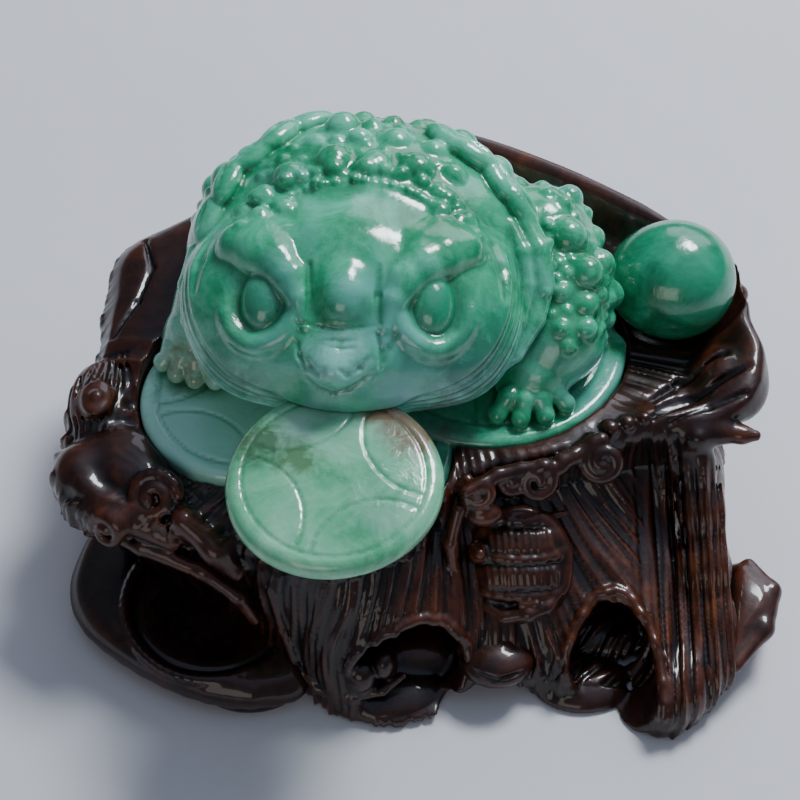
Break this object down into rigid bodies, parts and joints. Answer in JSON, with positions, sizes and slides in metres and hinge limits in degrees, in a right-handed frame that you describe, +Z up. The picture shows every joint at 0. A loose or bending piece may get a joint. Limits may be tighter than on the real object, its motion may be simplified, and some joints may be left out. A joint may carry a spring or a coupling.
{
  "type": "jade money toad figurine on a carved hardwood stand",
  "caption": "Carved jade money toad on a bed of coins with a coin in its mouth and a loose jade egg, on a carved hardwood root stand.",
  "frame": {"origin": "on the floor under the middle of the stand", "axes": "+X to the stand's long right side, +Y to its back (the toad looks along -Y), +Z up"},
  "size_m": [0.1953, 0.1621, 0.114],
  "materials": {
    "jade": "polished",
    "pale_jade": "polished",
    "deep_jade": "polished",
    "rosewood": "gloss lacquer",
    "peg_wood": "plain"
  },
  "bodies": {
    "stand": {"seat_board": "rosewood", "front_root": "rosewood", "left_root": "rosewood", "right_root": "rosewood", "back_root": "rosewood", "fungus_cap_left": "rosewood", "fungus_cap_right": "rosewood", "bundle": "rosewood", "knob": "rosewood", "seat_pegs": "peg_wood", "seam_dowels": "peg_wood"},
    "toad": {"toad": "jade"},
    "coin": {"mouth_coin": "pale_jade"},
    "jade_egg": {"egg": "deep_jade"}
  },
  "joints": [
    {"name": "toad_lift", "type": "slide", "parent": "stand", "child": "toad", "axis": [0, 0, 1], "range_m": [0, 0.12]},
    {"name": "coin_pull", "type": "slide", "parent": "toad", "child": "coin", "axis": [-0.0523, -0.9932, -0.1044], "range_m": [0, 0.06]},
    {"name": "egg_lift", "type": "slide", "parent": "stand", "child": "jade_egg", "axis": [0, 0, 1], "range_m": [0, 0.06]}
  ]
}
